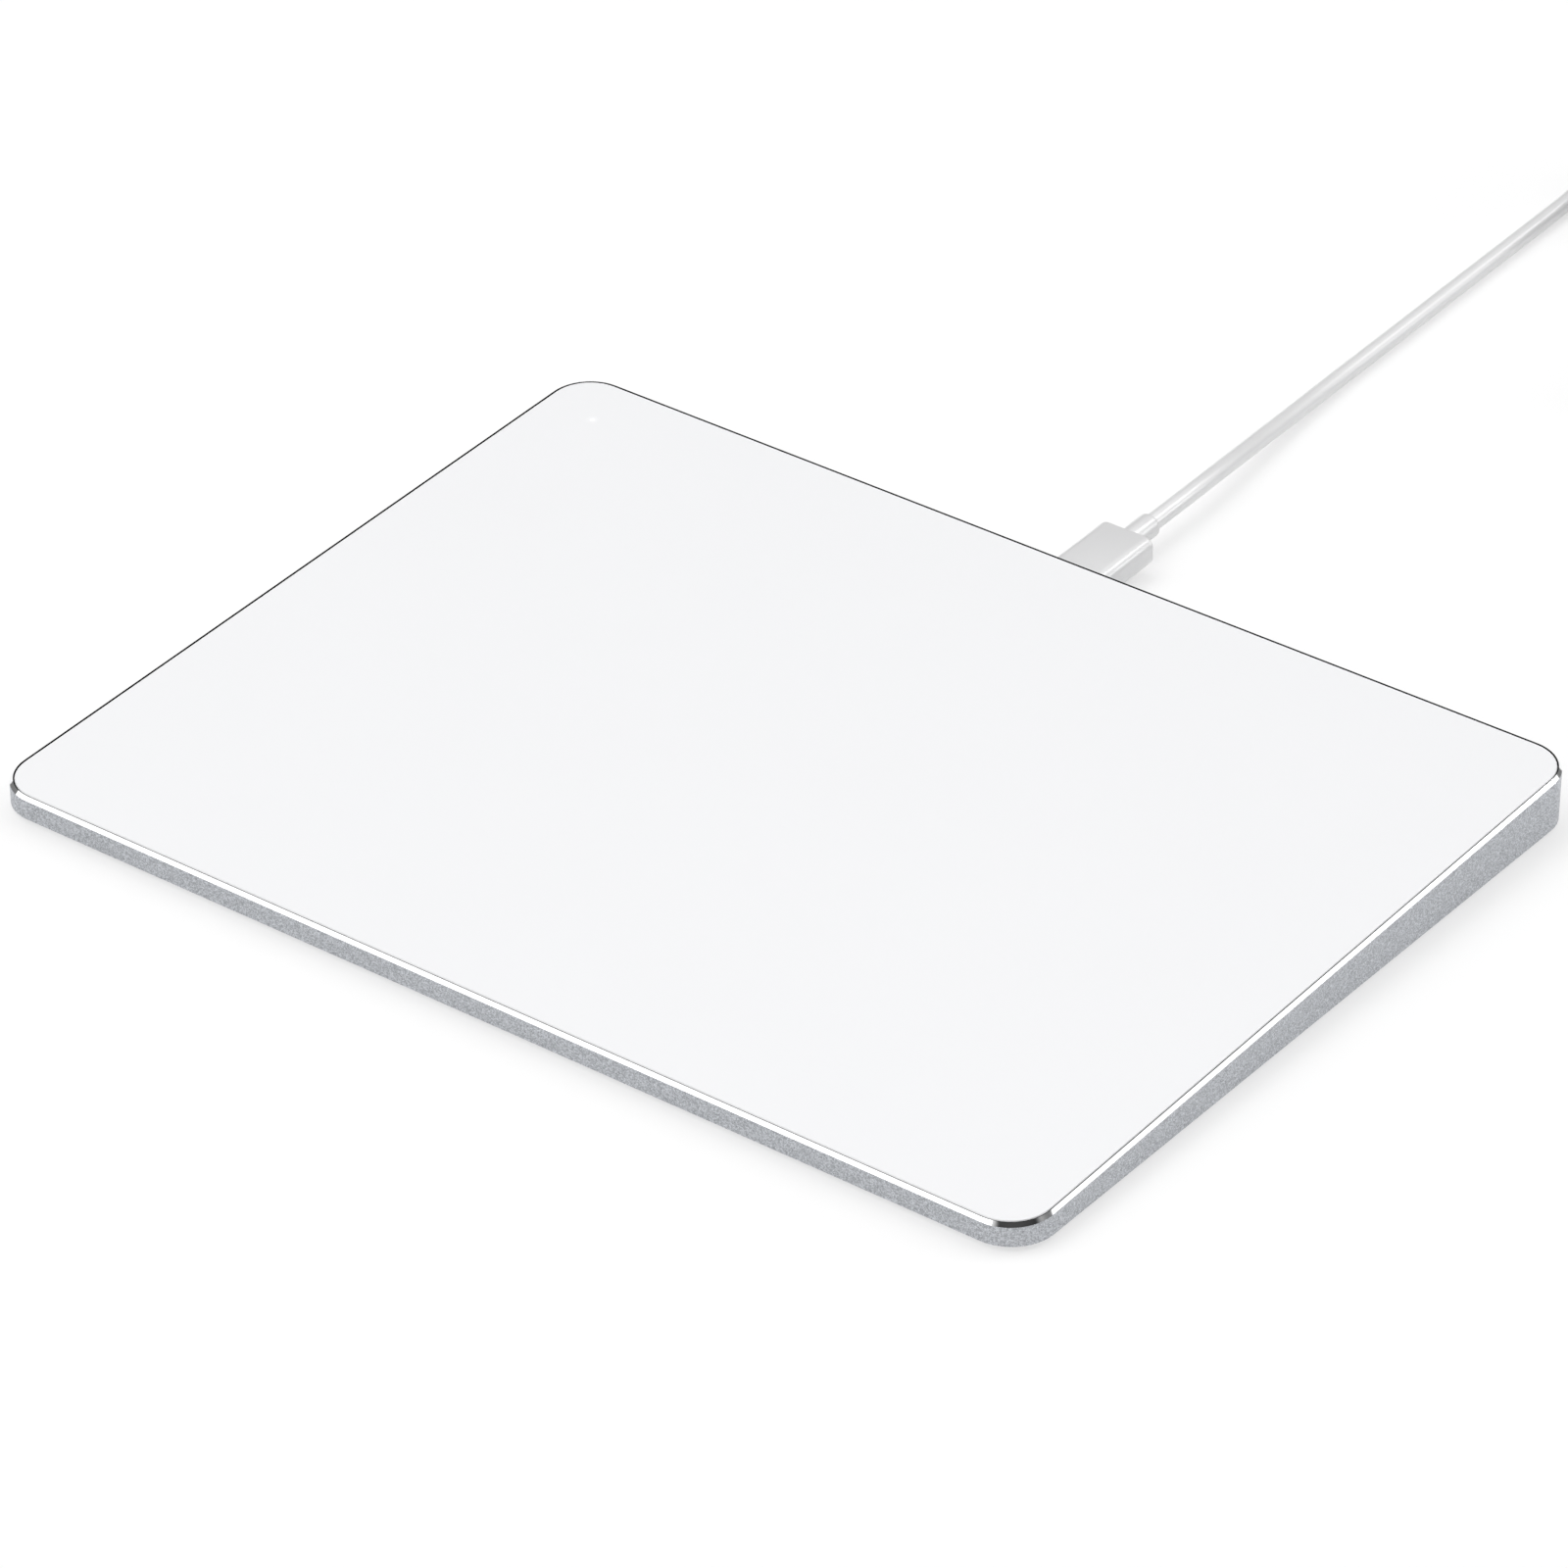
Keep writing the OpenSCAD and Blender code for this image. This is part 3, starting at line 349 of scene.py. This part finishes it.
class Finish:
    """A procedural material round one Principled shader."""

    def __init__(self, name, **sockets):
        self.material = bpy.data.materials.new(name)
        self.material.use_nodes = True
        self.tree = self.material.node_tree
        self.shader = self.tree.nodes["Principled BSDF"]
        for key, value in sockets.items():
            self.put(self.shader.inputs[key.replace("_", " ")], value)

    def put(self, socket, value):
        if isinstance(value, bpy.types.NodeSocket):
            self.tree.links.new(value, socket)
        elif socket.type == "RGBA" and len(value) == 3:
            socket.default_value = (*value, 1)
        else:
            socket.default_value = value

    def add(self, kind, inputs=(), **settings):
        node = self.tree.nodes.new(kind)
        for key, value in settings.items():
            setattr(node, key, value)
        for key, value in dict(inputs).items():
            self.put(node.inputs[key], value)
        return node

    def math(self, operation, a, b=0.0, clamp=False):
        return self.add("ShaderNodeMath", {0: a, 1: b}, operation=operation, use_clamp=clamp).outputs[0]

    def vector(self, operation, a, b=(0, 0, 0)):
        node = self.add("ShaderNodeVectorMath", {0: a, 1: b}, operation=operation)
        return node.outputs["Value" if operation in ("DOT_PRODUCT", "LENGTH") else "Vector"]

    def above(self, value, edge, soft):
        """0 below edge and 1 above it, with a soft step."""
        return self.add("ShaderNodeMapRange", {
            "Value": value, "From Min": edge - soft, "From Max": edge + soft,
        }).outputs["Result"]

    def between(self, value, low, high):
        """A value from 0 to 1 taken to the range from low to high."""
        return self.add("ShaderNodeMapRange", {
            "Value": value, "To Min": low, "To Max": high,
        }).outputs["Result"]

    def blend(self, factor, a, b):
        node = self.add("ShaderNodeMix", data_type="RGBA")
        self.put(node.inputs["Factor"], factor)
        self.put(node.inputs[6], a)
        self.put(node.inputs[7], b)
        return node.outputs[2]

    def place(self):
        return self.add("ShaderNodeTexCoord").outputs["Object"]

    def noise(self, size, detail=2.0, where=None):
        """Noise with features about size metres across."""
        return self.add("ShaderNodeTexNoise", {
            "Vector": where or self.place(), "Scale": 1 / size, "Detail": detail,
        }).outputs[0]

    def bump(self, height, depth, strength=1.0):
        node = self.add("ShaderNodeBump", {"Height": height, "Distance": depth, "Strength": strength})
        self.put(self.shader.inputs["Normal"], node.outputs["Normal"])


def tones(color, spread):
    """Two colours a little under and over a colour."""
    return [tuple(min(1.0, c * (1 + s * spread)) for c in color) for s in (-1, 1)]


def grained(name, color, spread, roughness, grain, depth, sockets):
    """A finish with a fine grain in its colour, roughness and surface."""
    finish = Finish(name, **sockets)
    fine = finish.noise(grain * MM)
    broad = finish.noise(grain * 40 * MM, 3.0)
    mixed = finish.math("ADD", finish.math("MULTIPLY", fine, 0.6), finish.math("MULTIPLY", broad, 0.4))
    finish.put(finish.shader.inputs["Base Color"], finish.blend(mixed, *tones(color, spread)))
    finish.put(finish.shader.inputs["Roughness"], finish.between(fine, roughness[0], roughness[1]))
    finish.bump(fine, depth * MM)
    return finish.material


def case_finish():
    """Sand-blasted aluminium with a polished bevel round the rim, and painted shade: near-black inside the
    gap below the rim.
    """
    f = Finish("case_aluminium", Metallic=1.0)
    where = f.place()
    depth = f.vector("DOT_PRODUCT", f.vector("SUBTRACT", where, (0, 0, MIDDLE_Z * MM)), SLOPE_UP)
    facing = f.vector("DOT_PRODUCT", f.add("ShaderNodeNewGeometry").outputs["True Normal"], SLOPE_UP)
    half = ((PAD_WIDTH / 2 - CORNER) * MM, (PAD_DEPTH / 2 - CORNER) * MM, 0)
    flat = f.vector("MULTIPLY", where, (1, 1, 0))
    beyond = f.vector("SUBTRACT", f.vector("ABSOLUTE", flat), half)
    split = f.add("ShaderNodeSeparateXYZ", {0: beyond})
    inward = f.math("MINIMUM", f.math("MAXIMUM", split.outputs["X"], split.outputs["Y"]), 0.0)
    outward = f.vector("LENGTH", f.vector("MAXIMUM", beyond, (0, 0, 0)))
    inset = f.math("SUBTRACT", CORNER * MM, f.math("ADD", inward, outward))

    polished = f.above(facing, 0.35, 0.05)
    # Painted shade: the rim's inner wall and the ledge below it, down to this depth, are coloured near-black
    # in place of the shade that falls in the gap.
    painted_shade_depth = 1.8
    painted_gap_shade = f.math(
        "MULTIPLY",
        f.above(inset, (RIM - 0.02) * MM, 0.01 * MM),
        f.above(depth, -painted_shade_depth * MM, 0.02 * MM))
    grain_size = 0.17 * MM
    cells = f.add("ShaderNodeTexVoronoi", {"Vector": where, "Scale": 1 / grain_size})
    sparkle = f.add("ShaderNodeSeparateColor", {0: cells.outputs["Color"]}).outputs["Red"]
    grain = f.noise(grain_size, 3.0, where)
    blasted = f.blend(
        f.math("ADD", f.math("MULTIPLY", sparkle, 0.65), f.math("MULTIPLY", grain, 0.35)),
        (0.255, 0.266, 0.286), (0.81, 0.83, 0.866))
    metal = f.blend(polished, blasted, (0.93, 0.935, 0.94))
    # Painted shade: the gap is coloured near-black.
    f.put(f.shader.inputs["Base Color"], f.blend(painted_gap_shade, metal, (0.006, 0.006, 0.007)))
    rough = f.between(grain, 0.42, 0.62)
    scored = f.between(f.noise(0.6 * MM, 2.0, where), 0.05, 0.1)
    roughness = f.add("ShaderNodeMix", data_type="FLOAT")
    f.put(roughness.inputs["Factor"], polished)
    f.put(roughness.inputs[2], rough)
    f.put(roughness.inputs[3], scored)
    f.put(f.shader.inputs["Roughness"], roughness.outputs[0])
    plain = f.math("SUBTRACT", 1.0, polished)
    f.bump(f.math("MULTIPLY", f.math("ADD", grain, sparkle), plain), 0.05 * MM, 0.5)
    return f.material


def glass_finish():
    """White back-printed glass with a satin face, dark grey sides (the unprinted glass edge, darkened
    further as painted shade in the gap) and a lit spot over the status light.
    """
    f = Finish("white_glass", Roughness=0.3, IOR=1.5, Coat_Weight=0.35, Coat_Roughness=0.22)
    where = f.place()
    tint = f.noise(30 * MM, 2.0, where)
    face = f.blend(tint, (0.885, 0.888, 0.9), (0.895, 0.898, 0.91))
    facing = f.vector("DOT_PRODUCT", f.add("ShaderNodeNewGeometry").outputs["True Normal"], SLOPE_UP)
    # Sides of the glass: dark grey, partly the unprinted glass edge and partly painted shade standing for
    # the shade in the gap.
    edge_tint_and_gap_shade = f.blend(f.noise(0.3 * MM, 2.0, where), (0.1, 0.11, 0.11), (0.16, 0.17, 0.17))
    f.put(f.shader.inputs["Base Color"], f.blend(f.above(facing, 0.4, 0.05), edge_tint_and_gap_shade, face))
    light = slope_point(-(PAD_WIDTH / 2 - LIGHT_INSET), REAR_V - LIGHT_INSET, 0)
    away = f.vector("LENGTH", f.vector("SUBTRACT", where, light))
    core = f.math("SUBTRACT", 1.0, f.above(away, 0.28 * MM, 0.1 * MM))
    glow = f.add("ShaderNodeMapRange", {
        "Value": away, "From Min": 0.3 * MM, "From Max": 1.1 * MM, "To Min": 0.05, "To Max": 0.0,
    }).outputs["Result"]
    f.put(f.shader.inputs["Emission Strength"], f.math("ADD", f.math("MULTIPLY", core, 0.6), glow))
    f.put(f.shader.inputs["Emission Color"], (0.95, 0.98, 1.0))
    f.bump(f.noise(0.08 * MM, 1.0, where), 0.0004 * MM)
    return f.material


def board_finish():
    """Green solder mask with copper traces under it."""
    f = Finish("board_laminate", IOR=1.5, Coat_Weight=0.3)
    where = f.place()
    lines = f.add("ShaderNodeTexBrick", {
        "Vector": where, "Scale": 1 / (3 * MM), "Mortar Size": 0.03, "Brick Width": 1.7, "Row Height": 0.4,
    })
    mask = f.blend(lines.outputs["Fac"], (0.02, 0.14, 0.06), (0.05, 0.24, 0.12))
    f.put(f.shader.inputs["Base Color"], mask)
    f.put(f.shader.inputs["Roughness"], f.between(f.noise(0.4 * MM, 2.0, where), 0.3, 0.45))
    f.bump(lines.outputs["Fac"], 0.02 * MM)
    return f.material


def film_finish():
    """Flat cable: tinned conductors under a clear white film."""
    f = Finish("flat_cable_film", IOR=1.5, Coat_Weight=0.4)
    where = f.place()
    wires = f.add("ShaderNodeTexWave", {"Vector": where, "Scale": 314 / 0.5, "Distortion": 0.0},
                  wave_type="BANDS", bands_direction="X")
    shade = f.above(wires.outputs["Fac"], 0.5, 0.1)
    f.put(f.shader.inputs["Base Color"], f.blend(shade, (0.85, 0.85, 0.86), (0.6, 0.62, 0.64)))
    f.put(f.shader.inputs["Roughness"], f.between(shade, 0.35, 0.2))
    f.bump(shade, 0.02 * MM)
    return f.material


def tie_finish():
    """Woven hook and loop strap."""
    f = Finish("tie_fabric", Sheen_Weight=0.3, Sheen_Roughness=0.5)
    where = f.place()
    weave = f.add("ShaderNodeTexChecker", {"Vector": where, "Scale": 1 / (0.35 * MM)}).outputs["Fac"]
    fuzz = f.noise(0.15 * MM, 3.0, where)
    mixed = f.math("ADD", f.math("MULTIPLY", weave, 0.5), f.math("MULTIPLY", fuzz, 0.5))
    f.put(f.shader.inputs["Base Color"], f.blend(mixed, (0.72, 0.72, 0.73), (0.9, 0.9, 0.9)))
    f.put(f.shader.inputs["Roughness"], f.between(fuzz, 0.75, 0.95))
    f.bump(mixed, 0.08 * MM)
    return f.material


METAL = {"Metallic": 1.0}
GLOSS = {"IOR": 1.8, "Coat_Weight": 0.8, "Coat_IOR": 1.8, "Coat_Roughness": 0.28}

# For each slot: colour, spread of tone, range of roughness, grain and depth in millimetres, other sockets
GRAINED = {
    "base_aluminium": ((0.68, 0.68, 0.7), 0.12, (0.45, 0.6), 0.2, 0.01, METAL),
    "screw_steel": ((0.4, 0.4, 0.42), 0.2, (0.25, 0.4), 0.12, 0.01, METAL),
    "foot_rubber": ((0.72, 0.72, 0.73), 0.06, (0.7, 0.9), 0.1, 0.02, {}),
    "chip_resin": ((0.03, 0.03, 0.032), 0.3, (0.45, 0.65), 0.1, 0.01, {}),
    "connector_plastic": ((0.8, 0.76, 0.66), 0.05, (0.4, 0.55), 0.15, 0.01, {}),
    "shell_steel": ((0.6, 0.6, 0.61), 0.08, (0.18, 0.3), 0.1, 0.002, METAL),
    "insert_plastic": ((0.03, 0.03, 0.03), 0.25, (0.35, 0.5), 0.1, 0.01, {}),
    "contact_gold": ((0.83, 0.62, 0.24), 0.05, (0.15, 0.25), 0.1, 0.002, METAL),
    "spring_steel": ((0.5, 0.51, 0.53), 0.1, (0.25, 0.4), 0.15, 0.004, METAL),
    "stop_silicone": ((0.8, 0.8, 0.8), 0.05, (0.5, 0.7), 0.15, 0.01, {}),
    "adhesive_film": ((0.85, 0.85, 0.85), 0.04, (0.5, 0.7), 0.3, 0.01, {}),
    "led_resin": ((0.9, 0.86, 0.6), 0.05, (0.15, 0.25), 0.1, 0.002, {}),
    "pipe_acrylic": ((0.9, 0.9, 0.92), 0.03, (0.08, 0.15), 0.1, 0.001, {}),
    "plunger_plastic": ((0.5, 0.06, 0.05), 0.08, (0.25, 0.4), 0.1, 0.005, {}),
    "plug_white": ((0.7, 0.7, 0.705), 0.02, (0.28, 0.34), 0.12, 0.003, GLOSS),
    "cable_white": ((0.75, 0.75, 0.755), 0.02, (0.28, 0.34), 0.2, 0.003, GLOSS),
}
finishes = {slot: grained(slot, *values) for slot, values in GRAINED.items()}
finishes["anodised_aluminium"] = case_finish()
finishes["white_glass"] = glass_finish()
finishes["board_laminate"] = board_finish()
finishes["flat_cable_film"] = film_finish()
finishes["tie_white"] = tie_finish()


def dress(piece, slot):
    piece.data.materials.clear()
    piece.data.materials.append(finishes[slot])


for part in frame["record"]["subparts"]:
    dress(nodes[part["node"]], part["material_slot"])
for piece in (plug_housing, plug_collar, far_housing, far_collar):
    dress(piece, "plug_white")
for piece in feet:
    dress(piece, "foot_rubber")
dress(strap, "tie_white")
dress(cable, "cable_white")

# Studio


def ramp(tree, value, low, high, at_low, at_high):
    """A smooth step from at_low to at_high as value goes from low to high."""
    node = tree.nodes.new("ShaderNodeMapRange")
    node.interpolation_type = "SMOOTHSTEP"
    tree.links.new(value, node.inputs["Value"])
    for key, number in (("From Min", low), ("From Max", high), ("To Min", at_low), ("To Max", at_high)):
        node.inputs[key].default_value = number
    return node.outputs["Result"]


def make_floor():
    """White paper that keeps a soft shadow of the object."""
    white, glow_share, reach = (0.95, 0.95, 0.95, 1), 0.6, 4.0
    mesh = bpy.data.meshes.new("floor")
    corners = [(-reach, -reach, 0), (reach, -reach, 0), (reach, reach, 0), (-reach, reach, 0)]
    mesh.from_pydata(corners, [], [(0, 1, 2, 3)])
    floor = bpy.data.objects.new("floor", mesh)
    scene.collection.objects.link(floor)
    material = bpy.data.materials.new("floor_paper")
    material.use_nodes = True
    tree = material.node_tree
    shader = tree.nodes["Principled BSDF"]
    shader.inputs["Base Color"].default_value = white
    shader.inputs["Roughness"].default_value = 0.9
    shader.inputs["Specular IOR Level"].default_value = 0.0
    glow = tree.nodes.new("ShaderNodeEmission")
    glow.inputs["Strength"].default_value = 1.0
    rays = tree.nodes.new("ShaderNodeLightPath")
    seen = rays.outputs["Is Camera Ray"]
    for name in ("Is Glossy Ray", "Is Transmission Ray"):
        either = tree.nodes.new("ShaderNodeMath")
        either.operation = "MAXIMUM"
        tree.links.new(seen, either.inputs[0])
        tree.links.new(rays.outputs[name], either.inputs[1])
        seen = either.outputs[0]
    share = tree.nodes.new("ShaderNodeMath")
    share.operation = "MULTIPLY"
    tree.links.new(seen, share.inputs[0])
    share.inputs[1].default_value = glow_share
    mix = tree.nodes.new("ShaderNodeMixShader")
    tree.links.new(share.outputs[0], mix.inputs["Fac"])
    tree.links.new(shader.outputs[0], mix.inputs[1])
    tree.links.new(glow.outputs[0], mix.inputs[2])
    tree.links.new(mix.outputs[0], tree.nodes["Material Output"].inputs["Surface"])
    mesh.materials.append(material)


def make_lamp(name, direction, distance, size, strength):
    """A square softbox that faces the middle of the case; strength is its radiance."""
    data = bpy.data.lights.new(name, "AREA")
    data.shape = "SQUARE"
    data.size = size
    data.energy = strength * math.pi * size * size
    lamp = bpy.data.objects.new(name, data)
    toward = Vector(direction).normalized()
    lamp.location = toward * distance
    lamp.rotation_euler = toward.to_track_quat("Z", "Y").to_euler()
    scene.collection.objects.link(lamp)


def make_world():
    """A dome that is bright overhead and dim at the horizon, with a dark flag on the camera's side."""
    flag_toward, flag_outer, flag_inner = Vector((0.45, -0.35, 0.8)), math.radians(42), math.radians(30)
    world = bpy.data.worlds.new("studio")
    scene.world = world
    world.use_nodes = True
    tree = world.node_tree
    background = tree.nodes["Background"]
    background.inputs["Color"].default_value = (1, 1, 1, 1)
    direction = tree.nodes.new("ShaderNodeTexCoord").outputs["Generated"]
    flag = tree.nodes.new("ShaderNodeVectorMath")
    flag.operation = "DOT_PRODUCT"
    tree.links.new(direction, flag.inputs[0])
    flag.inputs[1].default_value = flag_toward.normalized()
    shade = ramp(tree, flag.outputs["Value"], math.cos(flag_outer), math.cos(flag_inner), 1.0, 0.06)
    split = tree.nodes.new("ShaderNodeSeparateXYZ")
    tree.links.new(direction, split.inputs[0])
    sky = ramp(tree, split.outputs["Z"], 0.5, 0.95, 0.2, 2.2)
    both = tree.nodes.new("ShaderNodeMath")
    both.operation = "MULTIPLY"
    tree.links.new(sky, both.inputs[0])
    tree.links.new(shade, both.inputs[1])
    tree.links.new(both.outputs[0], background.inputs["Strength"])


# Direction from the case, distance, side and radiance of each softbox
SOFTBOXES = {
    "key_front_left": ((-0.5, -0.54, 0.68), 2.0, 2.2, 1.2),
    "window_rear": ((0.52, 0.707, 0.479), 2.6, 1.5, 1.2),
    "strip_rear_high": ((0.292, 0.707, 0.644), 2.4, 0.67, 3.6),
    "strip_rear_low": ((0.666, 0.707, 0.238), 2.4, 0.67, 3.6),
}
make_floor()
make_world()
for name, softbox in SOFTBOXES.items():
    make_lamp(name, *softbox)
scene.view_settings.view_transform = "Standard"

bpy.context.view_layer.update()
